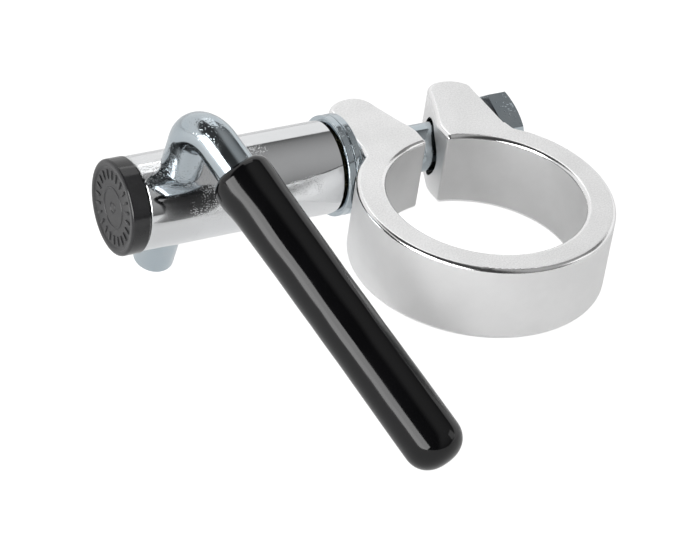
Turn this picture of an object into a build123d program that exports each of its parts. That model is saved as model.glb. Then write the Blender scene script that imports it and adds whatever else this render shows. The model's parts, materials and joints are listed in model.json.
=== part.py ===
from build123d import *
import os
from math import cos, radians, sin

os.makedirs("parts", exist_ok=True)

# Frame: origin at the centre of the tube bore, +Z along the clamped tube,
# +X along the clamp bolt towards its head, +Y from the bore towards the lugs.

# clamp ring
bore_radius = 24.15
ring_outer_radius = 31.25
ring_height = 20.0
ring_edge = 1.1
corner_radius = 0.8
gap_half_width = 3.0
lug_face_x = 20.1
lug_corner_y = 43.0
lug_tip_x = 13.2
lug_tip_y = 46.9
lug_nose_x = 8.0
lug_nose_y = 43.4
lug_face_end_y = 27.0
notch_x = 20.9
notch_y = 22.9
shoulder_x = 23.8
head_seat_depth = 0.8
seat_diameter = 27.0
bolt_hole_diameter = 14.0

# M12 clamp bolt and its washers
bolt_y = 34.5
bolt_diameter = 12.0
thread_diameter = 11.9
bolt_length = 70.0
plain_length = 30.0
head_across_flats = 19.0
head_height = 6.0
head_turn = 80
lock_washer_thickness = 1.6
lock_washer_outer = 18.4
lock_washer_inner = 12.3
lock_washer_slit = 1.6
washer_thickness = 2.0
washer_outer = 25.0
washer_inner = 13.0
running_gap = 0.05

# handle barrel, screwed along the bolt
barrel_diameter = 23.0
barrel_start_x = -24.7
barrel_end_x = -76.6
barrel_bore = 16.0
insert_diameter = 18.0
insert_length = 18.0
insert_proud = 0.45
cap_diameter = 23.4
cap_thickness = 4.8
cap_spigot_length = 4.0
cap_spigot_wall = 1.6

# bent lever rod, held in a cross hole of the barrel
rod_x = -65.6
rod_diameter = 10.0
rod_hole_clearance = 0.06
lever_lean = 15.1
hook_turn = 19.3
leg_angle = 73.1
leg_below = 24.0
leg_above = 28.7
bend_radius = 6.3
leg_length = 96.3
grip_start = 15.4
grip_end = 99.2
grip_diameter = 14.8
rod_end_chamfer = 1.6

# friction plug and its spring, inside the barrel
plug_diameter = 15.8
plug_face_x = -62.1
plug_back_x = -55.5
spring_wire = 1.3
spring_mean_radius = 7.1
spring_turns = 4

head_seat_face_x = lug_face_x - head_seat_depth
head_seat_x = head_seat_face_x + lock_washer_thickness
bolt_tip_x = head_seat_x - bolt_length
insert_start_x = barrel_start_x + insert_proud
insert_end_x = insert_start_x - insert_length


def across(x):
    """Plane square to the bolt at station x, facing the head."""
    return Plane(origin=(x, bolt_y, 0), x_dir=(0, 1, 0), z_dir=(1, 0, 0))


# the lever's own plane: x up the leg in the barrel, y towards the outer leg
leg_direction = Vector(0, -sin(radians(lever_lean)), cos(radians(lever_lean)))
front_direction = Vector(0, -cos(radians(lever_lean)), -sin(radians(lever_lean)))
side_direction = Vector(1, 0, 0) * sin(radians(hook_turn))
hook_direction = front_direction * cos(radians(hook_turn)) + side_direction
lever_plane = Plane(
    origin=(rod_x, bolt_y, 0),
    x_dir=leg_direction,
    z_dir=leg_direction.cross(hook_direction),
)
outer_leg_x = -cos(radians(leg_angle))
outer_leg_y = sin(radians(leg_angle))


def along_outer_leg(distance):
    """Point in the lever's plane at a distance from the corner along the outer leg."""
    return (leg_above + distance * outer_leg_x, distance * outer_leg_y)


# one side of the ring's outline, from the gap round the lug to the ring's outside
shoulder_y = (ring_outer_radius**2 - shoulder_x**2) ** 0.5
bore_corner_y = (bore_radius**2 - gap_half_width**2) ** 0.5

with BuildPart() as clamp_ring:
    with BuildSketch(Plane.XY.offset(-ring_height / 2)):
        with BuildLine() as half_outline:
            ThreePointArc((0, -bore_radius), (bore_radius, 0), (gap_half_width, bore_corner_y))
            Line((gap_half_width, bore_corner_y), (gap_half_width, 28.0))
            Spline(
                (gap_half_width, 28.0),
                (4.4, 33.2),
                (6.4, 38.5),
                (lug_nose_x, lug_nose_y),
                tangents=((0, 1), (0.25, 1)),
            )
            ThreePointArc((lug_nose_x, lug_nose_y), (9.9, 45.95), (lug_tip_x, lug_tip_y))
            ThreePointArc((lug_tip_x, lug_tip_y), (17.3, 45.8), (lug_face_x, lug_corner_y))
            Line((lug_face_x, lug_corner_y), (lug_face_x, lug_face_end_y))
            Line((lug_face_x, lug_face_end_y), (notch_x, notch_y))
            Line((notch_x, notch_y), (shoulder_x, shoulder_y))
            ThreePointArc((shoulder_x, shoulder_y), (ring_outer_radius, 0), (0, -ring_outer_radius))
            Line((0, -ring_outer_radius), (0, -bore_radius))
        make_face()
        mirror(about=Plane.YZ)
    extrude(amount=ring_height)
    upright = clamp_ring.edges().filter_by(Axis.Z)
    gap_corners = upright.filter_by_position(Axis.Y, bore_corner_y - 0.1, bore_corner_y + 0.1)
    notch_corners = upright.filter_by_position(Axis.Y, notch_y - 0.1, notch_y + 0.1)
    fillet(gap_corners + notch_corners, radius=corner_radius)
    level_faces = clamp_ring.faces().filter_by(Axis.Z)
    fillet(level_faces.edges(), radius=ring_edge)
    with BuildSketch(across(head_seat_face_x)):
        Circle(seat_diameter / 2)
    extrude(amount=6, mode=Mode.SUBTRACT)
    with BuildSketch(across(-lug_face_x)):
        Circle(seat_diameter / 2)
    extrude(amount=-5, mode=Mode.SUBTRACT)
    with BuildSketch(across(-lug_face_x - 1)):
        Circle(bolt_hole_diameter / 2)
    extrude(amount=2 * lug_face_x + 2, mode=Mode.SUBTRACT)
clamp_ring.part.label = "clamp_ring"
export_step(clamp_ring.part, "parts/clamp_ring.step")

# bolt: hexagonal head, plain shank through the lugs, thread into the barrel's bush
with BuildPart() as clamp_bolt:
    with BuildSketch(across(head_seat_x)):
        RegularPolygon(head_across_flats / 2, 6, major_radius=False, rotation=head_turn)
    extrude(amount=head_height)
    with BuildSketch(across(head_seat_x - plain_length)):
        Circle(bolt_diameter / 2)
    extrude(amount=plain_length)
    with BuildSketch(across(bolt_tip_x)):
        Circle(thread_diameter / 2)
    extrude(amount=bolt_length - plain_length)
    tip_edges = clamp_bolt.edges().filter_by(GeomType.CIRCLE).sort_by(Axis.X)[0]
    chamfer(tip_edges, length=1.2)
    with BuildSketch(Plane(origin=(0, bolt_y, 0), x_dir=(1, 0, 0), z_dir=(0, 0, 1))):
        with BuildLine():
            Polyline(
                (head_seat_x + head_height - 1.0, 12.0),
                (head_seat_x + head_height + 0.1, 12.0),
                (head_seat_x + head_height + 0.1, 8.8),
                (head_seat_x + head_height - 1.0, 11.3),
                close=True,
            )
        make_face()
    revolve(axis=Axis((0, bolt_y, 0), (1, 0, 0)), mode=Mode.SUBTRACT)
clamp_bolt.part.label = "clamp_bolt"
export_step(clamp_bolt.part, "parts/clamp_bolt.step")

with BuildPart() as head_lock_washer:
    with BuildSketch(across(head_seat_face_x)):
        Circle(lock_washer_outer / 2)
        Circle(lock_washer_inner / 2, mode=Mode.SUBTRACT)
    extrude(amount=lock_washer_thickness)
    with BuildSketch(Plane(origin=(head_seat_face_x + lock_washer_thickness / 2, bolt_y, 0), z_dir=(0, 1, 0))):
        Rectangle(2 * lock_washer_thickness, lock_washer_slit, rotation=20)
    extrude(amount=lock_washer_outer, mode=Mode.SUBTRACT)
head_lock_washer.part.label = "head_lock_washer"
export_step(head_lock_washer.part, "parts/head_lock_washer.step")

with BuildPart() as seat_washer:
    with BuildSketch(across(-lug_face_x - running_gap)):
        Circle(washer_outer / 2)
        Circle(washer_inner / 2, mode=Mode.SUBTRACT)
    extrude(amount=-washer_thickness)
    circles = seat_washer.edges().filter_by(GeomType.CIRCLE)
    rims = circles.filter_by(lambda e: e.radius > bolt_diameter)
    fillet(rims, radius=0.35)
seat_washer.part.label = "seat_washer"
export_step(seat_washer.part, "parts/seat_washer.step")

with BuildPart() as thrust_washer:
    with BuildSketch(across(-lug_face_x - 2 * running_gap - washer_thickness)):
        Circle(washer_outer / 2)
        Circle(washer_inner / 2, mode=Mode.SUBTRACT)
    extrude(amount=-washer_thickness)
    circles = thrust_washer.edges().filter_by(GeomType.CIRCLE)
    rims = circles.filter_by(lambda e: e.radius > bolt_diameter)
    fillet(rims, radius=0.35)
thrust_washer.part.label = "thrust_washer"
export_step(thrust_washer.part, "parts/thrust_washer.step")

# barrel: tube with a counterbore for the threaded bush and a cross hole for the rod
with BuildPart() as handle_barrel:
    with BuildSketch(across(barrel_start_x)):
        Circle(barrel_diameter / 2)
        Circle(barrel_bore / 2, mode=Mode.SUBTRACT)
    extrude(amount=barrel_end_x - barrel_start_x)
    circles = handle_barrel.edges().filter_by(GeomType.CIRCLE)
    rims = circles.filter_by(lambda e: e.radius > insert_diameter / 2)
    chamfer(rims, length=0.5)
    with BuildSketch(across(barrel_start_x)):
        Circle(insert_diameter / 2)
    extrude(amount=insert_end_x - barrel_start_x, mode=Mode.SUBTRACT)
    with BuildSketch(Plane(lever_plane.origin, x_dir=(1, 0, 0), z_dir=leg_direction)):
        Circle(rod_diameter / 2 + rod_hole_clearance)
    extrude(amount=barrel_diameter, both=True, mode=Mode.SUBTRACT)
handle_barrel.part.label = "handle_barrel"
export_step(handle_barrel.part, "parts/handle_barrel.step")

with BuildPart() as threaded_bush:
    with BuildSketch(across(insert_start_x)):
        Circle(insert_diameter / 2)
        Circle(bolt_diameter / 2, mode=Mode.SUBTRACT)
    extrude(amount=-insert_length)
    circles = threaded_bush.edges().filter_by(GeomType.CIRCLE)
    bores = circles.filter_by(lambda e: e.radius < insert_diameter / 2)
    chamfer(bores, length=0.6)
threaded_bush.part.label = "threaded_bush"
export_step(threaded_bush.part, "parts/threaded_bush.step")

with BuildPart() as end_cap:
    with BuildSketch(across(barrel_end_x)):
        Circle(cap_diameter / 2)
    extrude(amount=-cap_thickness)
    rim = end_cap.edges().filter_by(GeomType.CIRCLE).sort_by(Axis.X)[0]
    fillet(rim, radius=0.7)
    with BuildSketch(across(barrel_end_x)):
        Circle(barrel_bore / 2)
        Circle(barrel_bore / 2 - cap_spigot_wall, mode=Mode.SUBTRACT)
    extrude(amount=cap_spigot_length)
end_cap.part.label = "end_cap"
export_step(end_cap.part, "parts/end_cap.step")

# lever rod: straight leg through the barrel, tight bend, long outer leg
with BuildPart() as lever_rod:
    with BuildLine(lever_plane) as rod_path:
        FilletPolyline(
            (-leg_below, 0),
            (leg_above, 0),
            along_outer_leg(leg_length),
            radius=bend_radius,
        )
    with BuildSketch(Plane(rod_path.line @ 0, z_dir=rod_path.line % 0)):
        Circle(rod_diameter / 2)
    sweep()
    lower_end = lever_rod.faces().sort_by_distance(rod_path.line @ 0)[0]
    outer_end = lever_rod.faces().sort_by_distance(rod_path.line @ 1)[0]
    chamfer(lower_end.edges() + outer_end.edges(), length=rod_end_chamfer)
lever_rod.part.label = "lever_rod"
export_step(lever_rod.part, "parts/lever_rod.step")

# dipped grip: round nosed sleeve over the outer leg
outer_leg_start = lever_plane.from_local_coords(Vector(*along_outer_leg(grip_start), 0))
outer_leg_end = lever_plane.from_local_coords(Vector(*along_outer_leg(leg_length), 0))
outer_leg_direction = (outer_leg_end - outer_leg_start).normalized()
grip_plane = Plane(outer_leg_start, x_dir=lever_plane.z_dir, z_dir=outer_leg_direction)
with BuildPart() as lever_grip:
    with BuildSketch(grip_plane):
        Circle(grip_diameter / 2)
    extrude(amount=grip_end - grip_start)
    near_rim = lever_grip.faces().sort_by_distance(outer_leg_start)[0].edges()
    far_rim = lever_grip.faces().sort_by_distance(outer_leg_end)[0].edges()
    fillet(near_rim, radius=1.6)
    fillet(far_rim, radius=grip_diameter / 2 - 0.4)
    add(lever_rod.part, mode=Mode.SUBTRACT)
lever_grip.part.label = "lever_grip"
export_step(lever_grip.part, "parts/lever_grip.step")

# friction plug with a saddle for the rod, pushed by a coil spring
with BuildPart() as friction_plug:
    with BuildSketch(across(plug_face_x)):
        Circle(plug_diameter / 2)
    extrude(amount=plug_back_x - plug_face_x)
    with BuildSketch(Plane(lever_plane.origin, x_dir=(1, 0, 0), z_dir=leg_direction)):
        Circle(rod_diameter / 2 + running_gap)
    extrude(amount=barrel_diameter, both=True, mode=Mode.SUBTRACT)
friction_plug.part.label = "friction_plug"
export_step(friction_plug.part, "parts/friction_plug.step")

spring_length = insert_end_x - plug_back_x - spring_wire - 0.04
with BuildPart() as plug_spring:
    with BuildLine() as coil_path:
        Helix(
            pitch=spring_length / spring_turns,
            height=spring_length,
            radius=spring_mean_radius,
            center=(plug_back_x + spring_wire / 2 + 0.02, bolt_y, 0),
            direction=(1, 0, 0),
        )
    with BuildSketch(Plane(coil_path.line @ 0, z_dir=coil_path.line % 0)):
        Circle(spring_wire / 2)
    sweep(is_frenet=True)
plug_spring.part.label = "plug_spring"
export_step(plug_spring.part, "parts/plug_spring.step")
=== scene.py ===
import json
import math

import bmesh
import bpy
from bpy.props import FloatProperty, FloatVectorProperty, IntProperty, PointerProperty
from bpy.types import Operator, Panel, PropertyGroup
from mathutils import Matrix, Vector, noise


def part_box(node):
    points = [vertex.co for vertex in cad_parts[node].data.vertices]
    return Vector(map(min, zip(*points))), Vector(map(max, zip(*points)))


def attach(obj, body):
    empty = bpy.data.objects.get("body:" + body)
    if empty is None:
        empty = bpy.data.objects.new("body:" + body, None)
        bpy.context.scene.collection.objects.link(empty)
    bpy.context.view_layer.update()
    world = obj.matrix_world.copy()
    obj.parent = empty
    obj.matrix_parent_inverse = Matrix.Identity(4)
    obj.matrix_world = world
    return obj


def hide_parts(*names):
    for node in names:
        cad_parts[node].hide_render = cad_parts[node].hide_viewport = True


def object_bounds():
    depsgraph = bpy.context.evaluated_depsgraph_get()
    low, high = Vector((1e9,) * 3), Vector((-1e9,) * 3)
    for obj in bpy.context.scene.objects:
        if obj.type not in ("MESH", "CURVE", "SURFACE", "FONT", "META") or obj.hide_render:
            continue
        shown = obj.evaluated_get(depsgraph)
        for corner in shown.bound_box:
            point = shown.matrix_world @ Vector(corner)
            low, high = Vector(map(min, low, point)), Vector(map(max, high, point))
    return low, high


bl_info = {
    "name": "Split ring pipe clamp",
    "version": (1, 0, 0),
    "blender": (4, 5, 0),
    "location": "View3D > Sidebar > Pipe Clamp",
    "description": "Builds the finishes, grip, cap, spring and studio of a lever-turned pipe clamp",
    "category": "Object",
}

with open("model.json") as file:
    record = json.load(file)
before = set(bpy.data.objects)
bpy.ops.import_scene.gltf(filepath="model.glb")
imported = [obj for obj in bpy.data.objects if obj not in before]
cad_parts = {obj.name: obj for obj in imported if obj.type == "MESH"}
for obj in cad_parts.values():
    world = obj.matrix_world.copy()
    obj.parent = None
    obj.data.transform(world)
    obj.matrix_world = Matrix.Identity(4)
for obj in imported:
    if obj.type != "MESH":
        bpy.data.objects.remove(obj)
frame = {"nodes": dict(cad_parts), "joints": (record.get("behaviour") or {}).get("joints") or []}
CAD_LOW, CAD_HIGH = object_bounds()
NODES = frame["nodes"]
JOINTS = {joint["name"]: joint for joint in frame["joints"]}

MM = 0.001

# line of the clamp bolt, and the lever's corner and outer leg
BOLT_Y = JOINTS["barrel_turn"]["pos_m"][1]
LEVER_FOOT = Vector(JOINTS["lever_swivel"]["pos_m"])
LEG_UP = Vector(JOINTS["lever_swivel"]["axis"]).normalized()
LEG_HEIGHT = 28.7 * MM
HOOK_TURN = math.radians(19.3)
LEG_ANGLE = math.radians(73.1)
ROD_RADIUS = 5.0 * MM

# thread of the clamp bolt: pitch, and the station where it begins
THREAD_PITCH = 1.75 * MM
THREAD_START = -9.1 * MM


def outer_leg():
    """Corner point of the lever and unit direction of its outer leg."""
    sideways = Vector((1, 0, 0))
    forwards = sideways.cross(LEG_UP)
    hook = -forwards * math.cos(HOOK_TURN) if forwards.y > 0 else forwards * math.cos(HOOK_TURN)
    hook += sideways * math.sin(HOOK_TURN)
    direction = hook * math.sin(LEG_ANGLE) - LEG_UP * math.cos(LEG_ANGLE)
    return LEVER_FOOT + LEG_UP * LEG_HEIGHT, direction.normalized()


# ---------------------------------------------------------------- settings


class ClampFinishSettings(PropertyGroup):
    """Colours of the metal parts."""

    ring_colour: FloatVectorProperty(
        name="Ring colour", description="Tumbled aluminium of the split ring",
        default=(0.88, 0.88, 0.88), size=3, subtype="COLOR", min=0, max=1)
    zinc_colour: FloatVectorProperty(
        name="Zinc colour", description="Bright zinc plate of the rod, bolt and washers",
        default=(0.47, 0.53, 0.57), size=3, subtype="COLOR", min=0, max=1)
    chrome_colour: FloatVectorProperty(
        name="Chrome colour", description="Bright chrome of the barrel",
        default=(0.76, 0.77, 0.78), size=3, subtype="COLOR", min=0, max=1)


class GripSettings(PropertyGroup):
    """Sizes and colour of the dipped grip."""

    start: FloatProperty(
        name="Start", description="Distance of the upper lip from the lever's corner",
        default=15.4 * MM, unit="LENGTH", min=0)
    end: FloatProperty(
        name="End", description="Distance of the nose from the lever's corner",
        default=98.75 * MM, unit="LENGTH", min=0)
    radius: FloatProperty(
        name="Radius", description="Largest radius of the dipped coat",
        default=7.38 * MM, unit="LENGTH", min=0)
    colour: FloatVectorProperty(
        name="Colour", description="Black vinyl", default=(0.002, 0.002, 0.0024),
        size=3, subtype="COLOR", min=0, max=1)


class CapSettings(PropertyGroup):
    """Sizes and colour of the barrel's end cap."""

    tick_count: IntProperty(
        name="Ticks", description="Raised ticks round the cap's face", default=22, min=3)
    tick_circle: FloatProperty(
        name="Tick circle", description="Radius of the circle of ticks",
        default=8.1 * MM, unit="LENGTH", min=0)
    tick_length: FloatProperty(
        name="Tick length", description="Length of one tick, towards the rim",
        default=2.4 * MM, unit="LENGTH", min=0)
    colour: FloatVectorProperty(
        name="Colour", description="Black moulding", default=(0.016, 0.016, 0.017),
        size=3, subtype="COLOR", min=0, max=1)


class StageSettings(PropertyGroup):
    """Floor, lights and camera."""

    floor_drop: FloatProperty(
        name="Floor drop", description="Gap between the lowest point and the floor",
        default=0.3 * MM, unit="LENGTH", min=0)
    key_power: FloatProperty(
        name="Strip light", description="Power of the long strip light beside the lever",
        default=7.0, unit="POWER", min=0)
    lens: FloatProperty(
        name="Lens", description="Focal length in millimetres", default=172.66, min=1)


GROUPS = {
    "clamp_finish": ClampFinishSettings,
    "clamp_grip": GripSettings,
    "clamp_cap": CapSettings,
    "clamp_stage": StageSettings,
}


# ---------------------------------------------------------------- shader groups


def new_group(name, inputs, outputs):
    """Empty shader node group with named sockets, and its input and output nodes."""
    tree = bpy.data.node_groups.new(name, "ShaderNodeTree")
    for label, kind, default in inputs:
        socket = tree.interface.new_socket(label, in_out="INPUT", socket_type=kind)
        if default is not None:
            socket.default_value = default
    for label, kind in outputs:
        tree.interface.new_socket(label, in_out="OUTPUT", socket_type=kind)
    return tree, tree.nodes.new("NodeGroupInput"), tree.nodes.new("NodeGroupOutput")


def math_node(tree, operation, first, second=None, third=None):
    """Math node fed by sockets or plain numbers; returns its output socket."""
    node = tree.nodes.new("ShaderNodeMath")
    node.operation = operation
    for index, value in enumerate((first, second, third)):
        if value is None:
            continue
        if isinstance(value, bpy.types.NodeSocket):
            tree.links.new(value, node.inputs[index])
        else:
            node.inputs[index].default_value = value
    return node.outputs[0]


def ramp_between(tree, value, low, high, out_low=0.0, out_high=1.0):
    """Smooth change from out_low to out_high as value goes from low to high."""
    node = tree.nodes.new("ShaderNodeMapRange")
    node.interpolation_type = "SMOOTHSTEP"
    tree.links.new(value, node.inputs["Value"])
    node.inputs["From Min"].default_value = low
    node.inputs["From Max"].default_value = high
    node.inputs["To Min"].default_value = out_low
    node.inputs["To Max"].default_value = out_high
    return node.outputs["Result"]


def noise_node(tree, scale, detail=3.0, roughness=0.5):
    """Noise on object coordinates; returns its value socket."""
    place = tree.nodes.new("ShaderNodeTexCoord").outputs["Object"]
    node = tree.nodes.new("ShaderNodeTexNoise")
    node.inputs["Detail"].default_value = detail
    node.inputs["Roughness"].default_value = roughness
    tree.links.new(place, node.inputs["Vector"])
    if isinstance(scale, bpy.types.NodeSocket):
        tree.links.new(scale, node.inputs["Scale"])
    else:
        node.inputs["Scale"].default_value = scale
    return node.outputs["Fac"]


def build_metal_wear():
    """Group: cloudy colour variation, roughness variation and fine grain for bare metal."""
    tree, given, out = new_group(
        "metal_wear",
        [
            ("Colour", "NodeSocketColor", (0.8, 0.8, 0.8, 1)),
            ("Tint", "NodeSocketColor", (0.7, 0.75, 0.8, 1)),
            ("Cloud Scale", "NodeSocketFloat", 120.0),
            ("Cloud Amount", "NodeSocketFloat", 0.3),
            ("Roughness Low", "NodeSocketFloat", 0.15),
            ("Roughness High", "NodeSocketFloat", 0.3),
            ("Grain Scale", "NodeSocketFloat", 2500.0),
        ],
        [
            ("Colour", "NodeSocketColor"),
            ("Roughness", "NodeSocketFloat"),
            ("Grain", "NodeSocketFloat"),
        ],
    )
    clouds = noise_node(tree, given.outputs["Cloud Scale"], 4.0, 0.6)
    spread = ramp_between(tree, clouds, 0.35, 0.65)
    amount = math_node(tree, "MULTIPLY", spread, given.outputs["Cloud Amount"])
    mix = tree.nodes.new("ShaderNodeMix")
    mix.data_type = "RGBA"
    tree.links.new(amount, mix.inputs["Factor"])
    tree.links.new(given.outputs["Colour"], mix.inputs["A"])
    tree.links.new(given.outputs["Tint"], mix.inputs["B"])
    tree.links.new(mix.outputs["Result"], out.inputs["Colour"])
    span = math_node(tree, "SUBTRACT", given.outputs["Roughness High"], given.outputs["Roughness Low"])
    part = math_node(tree, "MULTIPLY", spread, span)
    tree.links.new(math_node(tree, "ADD", part, given.outputs["Roughness Low"]), out.inputs["Roughness"])
    grain = noise_node(tree, given.outputs["Grain Scale"], 2.0, 0.6)
    tree.links.new(grain, out.inputs["Grain"])
    return tree


def build_pits():
    """Group: scattered fine pits, denser inside cloudy patches."""
    tree, given, out = new_group(
        "plating_pits",
        [
            ("Pit Scale", "NodeSocketFloat", 1800.0),
            ("Patch Scale", "NodeSocketFloat", 60.0),
            ("Patch Low", "NodeSocketFloat", 0.5),
            ("Patch High", "NodeSocketFloat", 0.7),
        ],
        [("Height", "NodeSocketFloat"), ("Mask", "NodeSocketFloat")],
    )
    place = tree.nodes.new("ShaderNodeTexCoord").outputs["Object"]
    cells = tree.nodes.new("ShaderNodeTexVoronoi")
    tree.links.new(place, cells.inputs["Vector"])
    tree.links.new(given.outputs["Pit Scale"], cells.inputs["Scale"])
    dot = ramp_between(tree, cells.outputs["Distance"], 0.12, 0.42)
    patches = noise_node(tree, given.outputs["Patch Scale"], 3.0, 0.6)
    gate = tree.nodes.new("ShaderNodeMapRange")
    gate.interpolation_type = "SMOOTHSTEP"
    tree.links.new(patches, gate.inputs["Value"])
    tree.links.new(given.outputs["Patch Low"], gate.inputs["From Min"])
    tree.links.new(given.outputs["Patch High"], gate.inputs["From Max"])
    pit = math_node(tree, "SUBTRACT", 1.0, dot)
    depth = math_node(tree, "MULTIPLY", pit, gate.outputs["Result"])
    tree.links.new(math_node(tree, "SUBTRACT", 1.0, depth), out.inputs["Height"])
    tree.links.new(gate.outputs["Result"], out.inputs["Mask"])
    return tree


def shader_group(name):
    """The named shader group, built the first time it is asked for."""
    if name in bpy.data.node_groups:
        return bpy.data.node_groups[name]
    return {"metal_wear": build_metal_wear, "plating_pits": build_pits}[name]()


def place_group(tree, name, **values):
    """Group node with its inputs set; underscores in the keywords stand for spaces."""
    node = tree.nodes.new("ShaderNodeGroup")
    node.node_tree = shader_group(name)
    for key, value in values.items():
        node.inputs[key.replace("_", " ")].default_value = value
    return node


def distance_from_axis(tree, shift, keep):
    """Distance from a line, in object coordinates moved by shift; keep is 0 along the line."""
    place = tree.nodes.new("ShaderNodeMapping")
    place.inputs["Location"].default_value = shift
    place.inputs["Scale"].default_value = keep
    tree.links.new(tree.nodes.new("ShaderNodeTexCoord").outputs["Object"], place.inputs["Vector"])
    length = tree.nodes.new("ShaderNodeVectorMath")
    length.operation = "LENGTH"
    tree.links.new(place.outputs["Vector"], length.inputs[0])
    return length.outputs["Value"]


def add_bump(tree, shader, height, strength, distance, under=None):
    """Bump node on the shader's normal; returns the node."""
    bump = tree.nodes.new("ShaderNodeBump")
    bump.inputs["Strength"].default_value = strength
    bump.inputs["Distance"].default_value = distance
    tree.links.new(height, bump.inputs["Height"])
    if under is not None:
        tree.links.new(under.outputs["Normal"], bump.inputs["Normal"])
    tree.links.new(bump.outputs["Normal"], shader.inputs["Normal"])
    return bump


def new_material(name):
    """Material with an empty Principled shader; returns material, tree and shader."""
    material = bpy.data.materials.new(name)
    material.use_nodes = True
    tree = material.node_tree
    return material, tree, tree.nodes["Principled BSDF"]


def rgba(colour, scale=1.0):
    return (*[min(1.0, c * scale) for c in colour], 1.0)


def worn_metal(name, colour, tint, low, high, cloud=120.0, amount=0.35, grain=2500.0, bump=0.08):
    """Plated or bare metal with clouded colour, varied gloss and fine grain."""
    material, tree, shader = new_material(name)
    shader.inputs["Metallic"].default_value = 1.0
    wear = place_group(
        tree, "metal_wear", Colour=rgba(colour), Tint=rgba(tint), Cloud_Scale=cloud,
        Cloud_Amount=amount, Roughness_Low=low, Roughness_High=high, Grain_Scale=grain)
    tree.links.new(wear.outputs["Colour"], shader.inputs["Base Color"])
    tree.links.new(wear.outputs["Roughness"], shader.inputs["Roughness"])
    add_bump(tree, shader, wear.outputs["Grain"], bump, 0.05 * MM)
    return material, tree, shader, wear


def tumbled_aluminium(settings):
    """Ring finish: satin flats, smoother walls, polished rolled edges, and painted shade that darkens the
    bore's walls.
    """
    material, tree, shader, wear = worn_metal(
        "tumbled_aluminium", settings.ring_colour, [c * 0.95 for c in settings.ring_colour],
        0.0, 0.05, cloud=90.0, amount=0.5, grain=2600.0, bump=0.30)
    normal = tree.nodes.new("ShaderNodeNewGeometry").outputs["Normal"]
    split = tree.nodes.new("ShaderNodeSeparateXYZ")
    tree.links.new(normal, split.inputs[0])
    level = math_node(tree, "ABSOLUTE", split.outputs["Z"])
    flat = ramp_between(tree, level, 0.96, 0.995)
    wall = ramp_between(tree, level, 0.25, 0.03)
    rough = math_node(tree, "MULTIPLY_ADD", flat, 0.26, 0.14)
    rough = math_node(tree, "ADD", rough, math_node(tree, "MULTIPLY", wall, 0.40))
    rough = math_node(tree, "ADD", rough, wear.outputs["Roughness"])
    tree.links.new(rough, shader.inputs["Roughness"])
    # painted shade: the base colour is darkened by up to 22 per cent on the walls of the bore, where shade
    # falls
    inside = ramp_between(tree, distance_from_axis(tree, (0, 0, 0), (1, 1, 0)), 24.9 * MM, 24.4 * MM)
    painted_bore_shade = math_node(tree, "MULTIPLY_ADD", math_node(tree, "MULTIPLY", inside, wall), -0.22, 1.0)
    speckle = math_node(tree, "SUBTRACT", wear.outputs["Grain"], 0.5)
    speckle = math_node(tree, "MULTIPLY_ADD", speckle, math_node(tree, "MULTIPLY", flat, 0.5), 1.0)
    scaled = tree.nodes.new("ShaderNodeVectorMath")
    scaled.operation = "SCALE"
    tree.links.new(wear.outputs["Colour"], scaled.inputs[0])
    tree.links.new(math_node(tree, "MULTIPLY", painted_bore_shade, speckle), scaled.inputs["Scale"])
    tree.links.new(scaled.outputs["Vector"], shader.inputs["Base Color"])
    return material


def pitted_chrome(settings):
    """Barrel finish: mirror chrome over lightly pitted steel."""
    material, tree, shader, wear = worn_metal(
        "pitted_chrome", settings.chrome_colour, [c * 0.92 for c in settings.chrome_colour],
        0.045, 0.10, cloud=70.0, amount=0.4, grain=900.0, bump=0.02)
    pits = place_group(
        tree, "plating_pits", Pit_Scale=2400.0, Patch_Scale=55.0, Patch_Low=0.46, Patch_High=0.62)
    first = tree.nodes["Bump"]
    add_bump(tree, shader, pits.outputs["Height"], 0.55, 0.08 * MM, under=first)
    return material


def bright_zinc(settings, name="bright_zinc"):
    """Rod, bolt and washer finish: bluish zinc with soft dents and light pitting."""
    material, tree, shader, wear = worn_metal(
        name, settings.zinc_colour, [c * f for c, f in zip(settings.zinc_colour, (1.12, 1.08, 1.05))],
        0.09, 0.20, cloud=160.0, amount=0.6, grain=1500.0, bump=0.12)
    pits = place_group(
        tree, "plating_pits", Pit_Scale=1500.0, Patch_Scale=90.0, Patch_Low=0.48, Patch_High=0.66)
    first = tree.nodes["Bump"]
    add_bump(tree, shader, pits.outputs["Height"], 0.55, 0.10 * MM, under=first)
    return material


def threaded_zinc(settings):
    """Bolt finish: bright zinc with a helical thread on the far half of the shank."""
    material = bright_zinc(settings, "threaded_zinc")
    tree = material.node_tree
    under = tree.nodes["Principled BSDF"].inputs["Normal"].links[0].from_node
    place = tree.nodes.new("ShaderNodeMapping")
    place.inputs["Location"].default_value = (0, -BOLT_Y, 0)
    tree.links.new(tree.nodes.new("ShaderNodeTexCoord").outputs["Object"], place.inputs["Vector"])
    split = tree.nodes.new("ShaderNodeSeparateXYZ")
    tree.links.new(place.outputs["Vector"], split.inputs[0])
    angle = math_node(tree, "ARCTAN2", split.outputs["Z"], split.outputs["Y"])
    turn = math_node(tree, "DIVIDE", angle, 2 * math.pi)
    turn = math_node(tree, "ADD", turn, math_node(tree, "DIVIDE", split.outputs["X"], THREAD_PITCH))
    ridge = math_node(tree, "PINGPONG", turn, 0.5)
    cut = ramp_between(tree, split.outputs["X"], THREAD_START, THREAD_START - 0.6 * MM)
    ridge = math_node(tree, "MULTIPLY", ridge, cut)
    add_bump(tree, tree.nodes["Principled BSDF"], ridge, 1.0, 1.6 * MM, under=under)
    return material


def spring_steel():
    """Blackened steel of the lock washer and the inner spring."""
    return worn_metal(
        "blackened_spring_steel", (0.10, 0.10, 0.105), (0.20, 0.20, 0.21),
        0.28, 0.45, cloud=300.0, amount=0.5, grain=3000.0, bump=0.15)[0]


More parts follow.
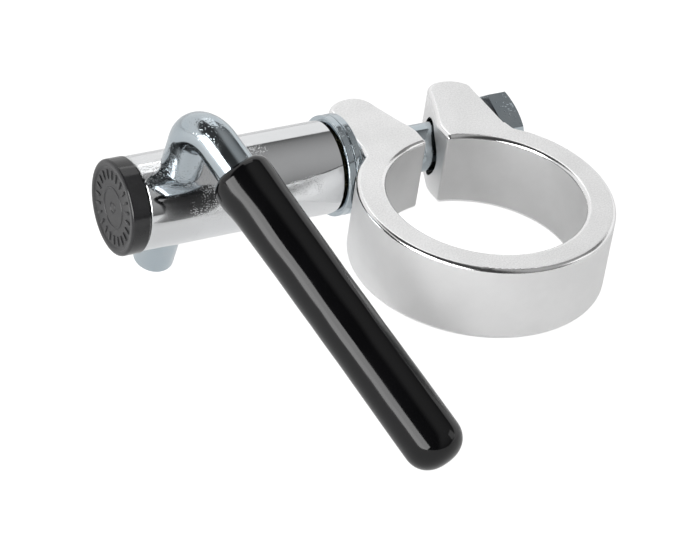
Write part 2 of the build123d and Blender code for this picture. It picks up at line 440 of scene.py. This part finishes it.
def turned_brass():
    """Threaded bush inside the barrel."""
    return worn_metal(
        "turned_brass", (0.75, 0.58, 0.28), (0.62, 0.46, 0.20),
        0.20, 0.34, cloud=200.0, amount=0.4, grain=2500.0, bump=0.08)[0]


def natural_nylon():
    """Friction plug inside the barrel."""
    material, tree, shader = new_material("natural_nylon")
    wear = place_group(
        tree, "metal_wear", Colour=(0.82, 0.80, 0.72, 1), Tint=(0.74, 0.71, 0.62, 1), Cloud_Scale=150.0,
        Cloud_Amount=0.5, Roughness_Low=0.42, Roughness_High=0.55, Grain_Scale=2600.0)
    tree.links.new(wear.outputs["Colour"], shader.inputs["Base Color"])
    tree.links.new(wear.outputs["Roughness"], shader.inputs["Roughness"])
    add_bump(tree, shader, wear.outputs["Grain"], 0.1, 0.05 * MM)
    return material


def dipped_vinyl(settings):
    """Grip finish: deep glossy black with a slow ripple from dipping."""
    material, tree, shader = new_material("dipped_black_vinyl")
    shader.inputs["IOR"].default_value = 1.42
    shader.inputs["Coat Roughness"].default_value = 0.03
    wear = place_group(
        tree, "metal_wear", Colour=rgba(settings.colour), Tint=rgba(settings.colour, 1.6), Cloud_Scale=60.0,
        Cloud_Amount=0.5, Roughness_Low=0.07, Roughness_High=0.13, Grain_Scale=1700.0)
    tree.links.new(wear.outputs["Colour"], shader.inputs["Base Color"])
    tree.links.new(wear.outputs["Roughness"], shader.inputs["Roughness"])
    shader.inputs["Coat Weight"].default_value = 0.05
    ripple = add_bump(tree, shader, noise_node(tree, 95.0, 2.0, 0.5), 0.16, 0.5 * MM)
    add_bump(tree, shader, wear.outputs["Grain"], 0.02, 0.04 * MM, under=ripple)
    return material


def moulded_black(settings):
    """Cap finish: satin face with a glossier rim."""
    material, tree, shader = new_material("moulded_black_cap")
    wear = place_group(
        tree, "metal_wear", Colour=rgba(settings.colour), Tint=rgba(settings.colour, 1.5), Cloud_Scale=220.0,
        Cloud_Amount=0.6, Roughness_Low=0.0, Roughness_High=0.06, Grain_Scale=3400.0)
    tree.links.new(wear.outputs["Colour"], shader.inputs["Base Color"])
    distance = distance_from_axis(tree, (0, -BOLT_Y, 0), (0, 1, 1))
    rim = ramp_between(tree, distance, 10.2 * MM, 11.0 * MM, 0.34, 0.07)
    tree.links.new(math_node(tree, "ADD", rim, wear.outputs["Roughness"]), shader.inputs["Roughness"])
    add_bump(tree, shader, wear.outputs["Grain"], 0.15, 0.05 * MM)
    return material


# ---------------------------------------------------------------- mesh helpers


def paint(obj, material):
    """Gives every face of obj this one material."""
    obj.data.materials.clear()
    obj.data.materials.append(material)


def mesh_object(name, bm, sharp_angle=math.radians(35)):
    """Object at the origin from a bmesh, smooth but for edges sharper than sharp_angle."""
    mesh = bpy.data.meshes.new(name)
    bmesh.ops.recalc_face_normals(bm, faces=bm.faces)
    bm.to_mesh(mesh)
    bm.free()
    mesh.polygons.foreach_set("use_smooth", [True] * len(mesh.polygons))
    mesh.set_sharp_from_angle(angle=sharp_angle)
    obj = bpy.data.objects.new(name, mesh)
    bpy.context.scene.collection.objects.link(obj)
    return obj


def lathe(bm, profile, origin, axis, segments, wobble=None):
    """Turns (along, radius) stations about an axis; a zero radius closes an end.
    wobble(along, radius, angle) may return a changed pair for one point."""
    axis = axis.normalized()
    side = axis.orthogonal().normalized()
    up = axis.cross(side)
    rows = []
    for along, radius in profile:
        if radius == 0:
            rows.append([bm.verts.new(origin + axis * along)])
            continue
        row = []
        for index in range(segments):
            angle = math.tau * index / segments
            a, r = wobble(along, radius, angle) if wobble else (along, radius)
            spoke = side * math.cos(angle) + up * math.sin(angle)
            row.append(bm.verts.new(origin + axis * a + spoke * r))
        rows.append(row)
    for low, high in zip(rows, rows[1:]):
        for index in range(segments):
            following = (index + 1) % segments
            if len(low) == 1:
                bm.faces.new((low[0], high[index], high[following]))
            elif len(high) == 1:
                bm.faces.new((low[index], high[0], low[following]))
            else:
                bm.faces.new((low[index], high[index], high[following], low[following]))


def rounded(start, corner, end, radius_steps=6):
    """Quarter-round stations from start to end, bulging towards corner."""
    points = []
    for step in range(radius_steps + 1):
        turn = math.pi / 2 * step / radius_steps
        blend_a, blend_b = 1 - math.sin(turn), 1 - math.cos(turn)
        points.append(tuple(
            c + (s - c) * blend_a + (e - c) * blend_b for s, c, e in zip(start, corner, end)))
    return points


# ---------------------------------------------------------------- geometry nodes


def geometry_tree(name, inputs):
    """Empty geometry node tree with named inputs and one geometry output."""
    tree = bpy.data.node_groups.new(name, "GeometryNodeTree")
    for label, kind, default in inputs:
        socket = tree.interface.new_socket(label, in_out="INPUT", socket_type=kind)
        if default is not None:
            socket.default_value = default
    tree.interface.new_socket("Geometry", in_out="OUTPUT", socket_type="NodeSocketGeometry")
    return tree, tree.nodes.new("NodeGroupInput"), tree.nodes.new("NodeGroupOutput")


def finish_tree(tree, geometry, out, given):
    """Ends a geometry tree in Realize Instances and Set Material."""
    real = tree.nodes.new("GeometryNodeRealizeInstances")
    dress = tree.nodes.new("GeometryNodeSetMaterial")
    tree.links.new(geometry, real.inputs["Geometry"])
    tree.links.new(real.outputs["Geometry"], dress.inputs["Geometry"])
    tree.links.new(given.outputs["Material"], dress.inputs["Material"])
    tree.links.new(dress.outputs["Geometry"], out.inputs["Geometry"])


def coil_tree():
    """Coil spring: a wire circle swept along a helix."""
    tree, given, out = geometry_tree(
        "helical_sweep",
        [
            ("Turns", "NodeSocketFloat", 4.0),
            ("Radius", "NodeSocketFloat", 7.0 * MM),
            ("Height", "NodeSocketFloat", 12.0 * MM),
            ("Wire Radius", "NodeSocketFloat", 0.65 * MM),
            ("Steps", "NodeSocketInt", 48),
            ("Sides", "NodeSocketInt", 12),
            ("Material", "NodeSocketMaterial", None),
        ],
    )
    helix = tree.nodes.new("GeometryNodeCurveSpiral")
    tree.links.new(given.outputs["Turns"], helix.inputs["Rotations"])
    tree.links.new(given.outputs["Radius"], helix.inputs["Start Radius"])
    tree.links.new(given.outputs["Radius"], helix.inputs["End Radius"])
    tree.links.new(given.outputs["Height"], helix.inputs["Height"])
    tree.links.new(given.outputs["Steps"], helix.inputs["Resolution"])
    wire = tree.nodes.new("GeometryNodeCurvePrimitiveCircle")
    tree.links.new(given.outputs["Sides"], wire.inputs["Resolution"])
    tree.links.new(given.outputs["Wire Radius"], wire.inputs["Radius"])
    sweep = tree.nodes.new("GeometryNodeCurveToMesh")
    sweep.inputs["Fill Caps"].default_value = True
    tree.links.new(helix.outputs["Curve"], sweep.inputs["Curve"])
    tree.links.new(wire.outputs["Curve"], sweep.inputs["Profile Curve"])
    finish_tree(tree, sweep.outputs["Mesh"], out, given)
    return tree


def tick_tree():
    """Ring of raised ticks, each a soft-cornered bar lying across the circle."""
    tree, given, out = geometry_tree(
        "tick_ring",
        [
            ("Count", "NodeSocketInt", 28),
            ("Circle Radius", "NodeSocketFloat", 8.0 * MM),
            ("Tick Size", "NodeSocketVector", (1.5 * MM, 0.5 * MM, 0.3 * MM)),
            ("Material", "NodeSocketMaterial", None),
        ],
    )
    circle = tree.nodes.new("GeometryNodeMeshCircle")
    tree.links.new(given.outputs["Count"], circle.inputs["Vertices"])
    tree.links.new(given.outputs["Circle Radius"], circle.inputs["Radius"])
    bar = tree.nodes.new("GeometryNodeMeshCube")
    for axis_name in ("Vertices X", "Vertices Y", "Vertices Z"):
        bar.inputs[axis_name].default_value = 3
    tree.links.new(given.outputs["Tick Size"], bar.inputs["Size"])
    soft = tree.nodes.new("GeometryNodeSubdivisionSurface")
    soft.inputs["Level"].default_value = 1
    tree.links.new(bar.outputs["Mesh"], soft.inputs["Mesh"])
    place = tree.nodes.new("GeometryNodeInputPosition")
    face_out = tree.nodes.new("FunctionNodeAlignRotationToVector")
    tree.links.new(place.outputs["Position"], face_out.inputs["Vector"])
    face_out.axis = "X"
    put = tree.nodes.new("GeometryNodeInstanceOnPoints")
    tree.links.new(circle.outputs["Mesh"], put.inputs["Points"])
    tree.links.new(soft.outputs["Mesh"], put.inputs["Instance"])
    tree.links.new(face_out.outputs["Rotation"], put.inputs["Rotation"])
    finish_tree(tree, put.outputs["Instances"], out, given)
    return tree


def grow(name, tree, values, placement):
    """Runs a geometry tree with the given inputs and returns a plain, placed mesh object."""
    carrier = bpy.data.objects.new(name + "_carrier", bpy.data.meshes.new(name + "_carrier"))
    bpy.context.scene.collection.objects.link(carrier)
    modifier = carrier.modifiers.new("grow", "NODES")
    modifier.node_group = tree
    sockets = {item.name: item.identifier for item in tree.interface.items_tree if item.in_out == "INPUT"}
    for label, value in values.items():
        modifier[sockets[label]] = value
    evaluated = carrier.evaluated_get(bpy.context.evaluated_depsgraph_get())
    mesh = bpy.data.meshes.new_from_object(evaluated)
    bpy.data.objects.remove(carrier)
    mesh.transform(placement)
    mesh.name = name
    mesh.polygons.foreach_set("use_smooth", [True] * len(mesh.polygons))
    mesh.set_sharp_from_angle(angle=math.radians(40))
    obj = bpy.data.objects.new(name, mesh)
    bpy.context.scene.collection.objects.link(obj)
    return obj


def along_bolt(x):
    """Placement that lays a shape's Z axis along the bolt, its base at station x."""
    return Matrix.Translation((x, BOLT_Y, 0)) @ Matrix.Rotation(math.radians(90), 4, "Y")


# ---------------------------------------------------------------- operators


class CLAMP_OT_ring(Operator):
    """Finish the split ring"""

    bl_idname = "pipe_clamp.ring"
    bl_label = "Split ring"

    def execute(self, context):
        paint(NODES["clamp_ring"], tumbled_aluminium(context.scene.clamp_finish))
        return {"FINISHED"}


class CLAMP_OT_fasteners(Operator):
    """Finish the bolt and the washers"""

    bl_idname = "pipe_clamp.fasteners"
    bl_label = "Bolt and washers"

    def execute(self, context):
        zinc = bright_zinc(context.scene.clamp_finish)
        for name in ("seat_washer", "thrust_washer"):
            paint(NODES[name], zinc)
        paint(NODES["clamp_bolt"], threaded_zinc(context.scene.clamp_finish))
        paint(NODES["head_lock_washer"], spring_steel())
        return {"FINISHED"}


class CLAMP_OT_barrel(Operator):
    """Finish the chromed barrel and its inner pieces"""

    bl_idname = "pipe_clamp.barrel"
    bl_label = "Barrel"

    def execute(self, context):
        paint(NODES["handle_barrel"], pitted_chrome(context.scene.clamp_finish))
        paint(NODES["threaded_bush"], turned_brass())
        paint(NODES["friction_plug"], natural_nylon())
        low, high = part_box("plug_spring")
        wire = 0.65 * MM
        spring = grow(
            "plug_coil", coil_tree(),
            {
                "Turns": 4.0,
                "Radius": (high.z - low.z) / 2 - wire,
                "Height": high.x - low.x - 2 * wire,
                "Wire Radius": wire,
                "Material": bpy.data.materials["blackened_spring_steel"],
            },
            along_bolt(low.x + wire),
        )
        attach(spring, "handle")
        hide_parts("plug_spring")
        return {"FINISHED"}


class CLAMP_OT_cap(Operator):
    """Build the moulded end cap"""

    bl_idname = "pipe_clamp.cap"
    bl_label = "End cap"

    def execute(self, context):
        settings = context.scene.clamp_cap
        material = moulded_black(settings)
        low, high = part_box("end_cap")
        radius = (high.z - low.z) / 2
        face = low.x
        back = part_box("handle_barrel")[0].x
        bore = 8.0 * MM
        dish = 0.3 * MM
        profile = [(face + dish, 0)]
        profile += [(face + dish, r * MM) for r in (0.3, 0.6, 0.85, 1.0)]
        profile += [(face + 1.5 * dish, 1.15 * MM), (face + 1.5 * dish, 1.4 * MM)]
        profile += [(face + dish, 1.55 * MM), (face + dish, 4.6 * MM)]
        profile += [(face + 0.5 * dish, 4.75 * MM), (face + 0.5 * dish, 5.1 * MM), (face + dish, 5.25 * MM)]
        profile += [(face + dish, 9.55 * MM), (face + 0.9 * dish, 9.75 * MM), (face + 0.2 * dish, 10.0 * MM)]
        profile += [(face, 10.15 * MM)]
        profile += rounded((face, radius - 0.7 * MM), (face, radius), (face + 0.7 * MM, radius), 8)
        profile += [(back - 0.35 * MM, radius)]
        profile += [(back - 0.05 * MM, radius - 0.25 * MM), (back, radius - 0.3 * MM)]
        profile += [(back, bore - 0.02 * MM), (high.x - 0.4 * MM, bore - 0.02 * MM)]
        profile += [(high.x, bore - 0.4 * MM)]
        profile += [(high.x, bore - 1.6 * MM), (back + 0.3 * MM, bore - 1.6 * MM)]
        profile += [(back, bore - 1.9 * MM)]
        profile += [(back, 0)]
        bm = bmesh.new()
        lathe(bm, profile, Vector((0, BOLT_Y, 0)), Vector((1, 0, 0)), 128)
        cap = mesh_object("moulded_cap", bm, math.radians(32))
        paint(cap, material)
        ticks = grow(
            "cap_ticks", tick_tree(),
            {
                "Count": settings.tick_count,
                "Circle Radius": settings.tick_circle,
                "Tick Size": (settings.tick_length, 0.75 * MM, 0.55 * MM),
                "Material": material,
            },
            along_bolt(face + dish),
        )
        for piece in (cap, ticks):
            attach(piece, "handle")
        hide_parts("end_cap")
        return {"FINISHED"}


class CLAMP_OT_lever(Operator):
    """Finish the bent lever rod"""

    bl_idname = "pipe_clamp.lever"
    bl_label = "Lever rod"

    def execute(self, context):
        paint(NODES["lever_rod"], bpy.data.materials["bright_zinc"])
        return {"FINISHED"}


class CLAMP_OT_grip(Operator):
    """Build the dipped grip, with its uneven lip and round nose"""

    bl_idname = "pipe_clamp.grip"
    bl_label = "Dipped grip"

    def execute(self, context):
        settings = context.scene.clamp_grip
        corner, direction = outer_leg()
        start, end, radius = settings.start, settings.end, settings.radius
        nose = 6.4 * MM
        lip_round = 2.3 * MM
        steps, nose_steps = 110, 26
        profile = [(start + 2.0 * MM, ROD_RADIUS - 0.15 * MM), (start + 0.5 * MM, ROD_RADIUS - 0.02 * MM)]
        profile += rounded(
            (start, ROD_RADIUS + 0.35 * MM), (start, radius), (start + lip_round, radius), 14)
        length = end - start
        for step in range(1, steps):
            along = start + lip_round + (length - lip_round - nose) * step / steps
            profile.append((along, radius))
        for step in range(nose_steps):
            turn = math.pi / 2 * step / nose_steps
            profile.append((end - nose + nose * math.sin(turn) ** 0.92, radius * math.cos(turn) ** 0.86))
        profile.append((end, 0))

        def dipped(along, station_radius, angle):
            """Lip that wanders along the rod, a fuller top and a slow ripple."""
            t = (along - start) / length
            near_lip = max(0.0, 1 - t / 0.10)
            point = Vector((math.cos(angle) * 1.1, math.sin(angle) * 1.1, along / (9 * MM)))
            ripple = noise.noise(point) * 0.075 * MM
            lip = (0.55 * math.sin(angle + 0.6) + 0.25 * math.sin(2 * angle + 1.9) + 0.35) * MM
            waist = 0.16 * MM * math.sin(math.pi * min(1.0, t * 1.05)) ** 2
            swell = 0.42 * MM * math.exp(-((t - 0.06) / 0.05) ** 2) * (0.7 + 0.3 * math.sin(angle + 2.2))
            shrink = waist + 0.12 * MM + ripple - swell
            if station_radius < ROD_RADIUS + 0.2 * MM and t < 0.2:
                return along + lip * 0.5, station_radius
            if t > 0.93:
                shrink *= station_radius / radius
            return along + max(0.0, lip) * near_lip, station_radius - shrink

        bm = bmesh.new()
        lathe(bm, profile, corner, direction, 96, dipped)
        edge = [e for e in bm.edges if e.is_boundary]
        bmesh.ops.holes_fill(bm, edges=edge)
        grip = mesh_object("dipped_grip", bm, math.radians(80))
        paint(grip, dipped_vinyl(settings))
        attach(grip, "lever")
        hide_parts("lever_grip")
        return {"FINISHED"}


class CLAMP_OT_stage(Operator):
    """Lay the floor, set the lights and place the camera"""

    bl_idname = "pipe_clamp.stage"
    bl_label = "Studio"

    def execute(self, context):
        settings = context.scene.clamp_stage
        self.lay_floor(settings)
        self.light_world(context.scene)
        self.hang_lights(settings)
        self.place_camera(context.scene, settings)
        context.scene.view_settings.view_transform = "Standard"
        return {"FINISHED"}

    def lay_floor(self, settings):
        """Wide white floor just under the lowest point."""
        level = CAD_LOW.z - settings.floor_drop
        bm = bmesh.new()
        bmesh.ops.create_circle(bm, cap_ends=True, radius=6.0, segments=96)
        bmesh.ops.translate(bm, verts=bm.verts, vec=(0, 0, level))
        floor = mesh_object("studio_floor", bm)
        material, tree, shader = new_material("white_floor")
        shader.inputs["Roughness"].default_value = 0.9
        shader.inputs["Specular IOR Level"].default_value = 0.0
        shader.inputs["Base Color"].default_value = (0.70, 0.70, 0.70, 1)
        shader.inputs["Emission Color"].default_value = (1, 1, 1, 1)
        shader.inputs["Emission Strength"].default_value = 0.36
        glow = tree.nodes.new("ShaderNodeEmission")
        glow.inputs["Strength"].default_value = 1.25
        path = tree.nodes.new("ShaderNodeLightPath")
        seen = math_node(tree, "MULTIPLY", path.outputs["Is Camera Ray"], 0.72)
        mix = tree.nodes.new("ShaderNodeMixShader")
        tree.links.new(seen, mix.inputs["Fac"])
        tree.links.new(shader.outputs["BSDF"], mix.inputs[1])
        tree.links.new(glow.outputs["Emission"], mix.inputs[2])
        tree.links.new(mix.outputs["Shader"], tree.nodes["Material Output"].inputs["Surface"])
        paint(floor, material)

    def light_world(self, scene):
        """White low surround and a grey ceiling, much darker on the lever's side."""
        world = bpy.data.worlds.new("studio_surround")
        world.use_nodes = True
        tree = world.node_tree
        back = tree.nodes["Background"]
        split = tree.nodes.new("ShaderNodeSeparateXYZ")
        tree.links.new(tree.nodes.new("ShaderNodeTexCoord").outputs["Generated"], split.inputs[0])
        tilt = math_node(tree, "MULTIPLY", split.outputs["Y"], -0.5)
        height = math_node(tree, "ADD", split.outputs["Z"], tilt)
        bright = self.grey_ramp(
            tree, height, [(0.0, 0.97), (0.38, 0.97), (0.42, 0.10), (0.62, 0.24), (0.85, 0.34), (1.0, 0.4)])
        dim = self.grey_ramp(tree, height, [(0.0, 0.9), (0.36, 0.9), (0.42, 0.04), (1.0, 0.05)])
        mix = tree.nodes.new("ShaderNodeMix")
        mix.data_type = "RGBA"
        tree.links.new(ramp_between(tree, split.outputs["X"], -0.15, 0.25), mix.inputs["Factor"])
        tree.links.new(dim, mix.inputs["A"])
        tree.links.new(bright, mix.inputs["B"])
        tree.links.new(mix.outputs["Result"], back.inputs["Color"])
        back.inputs["Strength"].default_value = 1.0
        scene.world = world

    def grey_ramp(self, tree, factor, stops):
        """Colour ramp of greys over the given factor."""
        ramp = tree.nodes.new("ShaderNodeValToRGB")
        elements = ramp.color_ramp.elements
        while len(elements) < len(stops):
            elements.new(0.5)
        for element, (position, value) in zip(elements, stops):
            element.position = position
            element.color = (value, value, value, 1)
        tree.links.new(factor, ramp.inputs["Fac"])
        return ramp.outputs["Color"]

    def hang_lights(self, settings):
        """Broad strip beside the lever, laid along it, and two soft boxes."""
        middle = Vector((-0.03, 0.0, 0.0))
        strip_along = (0.337, -0.791, -0.511)
        boxes = [
            ("strip_light", (-0.90, -0.37, 0.20), 0.75, 0.50, 0.80, settings.key_power, strip_along),
            ("top_box", (0.15, 0.55, 0.85), 1.1, 0.55, 0.55, 1.0, (1, 0, 0)),
            ("side_box", (0.9, -0.5, 0.45), 1.1, 0.4, 0.5, 0.6, (0, 0, 1)),
        ]
        for name, towards, distance, width, length, power, along in boxes:
            data = bpy.data.lights.new(name, "AREA")
            data.shape = "RECTANGLE"
            data.size, data.size_y, data.energy = width, length, power
            lamp = bpy.data.objects.new(name, data)
            back = Vector(towards).normalized()
            up = (Vector(along) - back * Vector(along).dot(back)).normalized()
            side = up.cross(back)
            turn = Matrix((side, up, back)).transposed().to_4x4()
            lamp.matrix_world = Matrix.Translation(middle + back * distance) @ turn
            bpy.context.scene.collection.objects.link(lamp)

    def place_camera(self, scene, settings):
        """Long lens, above and to the left, with a slight roll."""
        azimuth, elevation, roll = (math.radians(v) for v in (-33.29, 35.23, 8.89))
        back = Vector((
            math.sin(azimuth) * math.cos(elevation),
            -math.cos(azimuth) * math.cos(elevation),
            math.sin(elevation),
        ))
        level = Vector((math.cos(azimuth), math.sin(azimuth), 0))
        lift = back.cross(level)
        right = level * math.cos(roll) + lift * math.sin(roll)
        up = lift * math.cos(roll) - level * math.sin(roll)
        data = bpy.data.cameras.new("studio_camera")
        data.lens = settings.lens
        data.sensor_width = 36.0
        data.shift_x, data.shift_y = -0.01184, -0.02795
        data.clip_start, data.clip_end = 0.01, 20.0
        camera = bpy.data.objects.new("studio_camera", data)
        turn = Matrix((right, up, back)).transposed().to_4x4()
        camera.matrix_world = Matrix.Translation((-0.38689, -0.53832, 0.45433)) @ turn
        scene.collection.objects.link(camera)
        scene.camera = camera


OPERATORS = (
    CLAMP_OT_ring,
    CLAMP_OT_fasteners,
    CLAMP_OT_barrel,
    CLAMP_OT_cap,
    CLAMP_OT_lever,
    CLAMP_OT_grip,
    CLAMP_OT_stage,
)


class CLAMP_PT_panel(Panel):
    """Lists the clamp's pieces"""

    bl_idname = "CLAMP_PT_panel"
    bl_label = "Pipe Clamp"
    bl_space_type = "VIEW_3D"
    bl_region_type = "UI"
    bl_category = "Pipe Clamp"

    def draw(self, context):
        for operator in OPERATORS:
            self.layout.operator(operator.bl_idname)
        for name, group in GROUPS.items():
            box = self.layout.box()
            box.label(text=group.__doc__)
            for prop in group.__annotations__:
                box.prop(getattr(context.scene, name), prop)


def register():
    for group in GROUPS.values():
        bpy.utils.register_class(group)
    for name, group in GROUPS.items():
        setattr(bpy.types.Scene, name, PointerProperty(type=group))
    for operator in OPERATORS:
        bpy.utils.register_class(operator)
    bpy.utils.register_class(CLAMP_PT_panel)


def unregister():
    bpy.utils.unregister_class(CLAMP_PT_panel)
    for operator in reversed(OPERATORS):
        bpy.utils.unregister_class(operator)
    for name in GROUPS:
        delattr(bpy.types.Scene, name)
    for group in reversed(GROUPS.values()):
        bpy.utils.unregister_class(group)


def main():
    register()
    for operator in OPERATORS:
        family, action = operator.bl_idname.split(".")
        getattr(getattr(bpy.ops, family), action)()


if __name__ == "__main__":
    main()
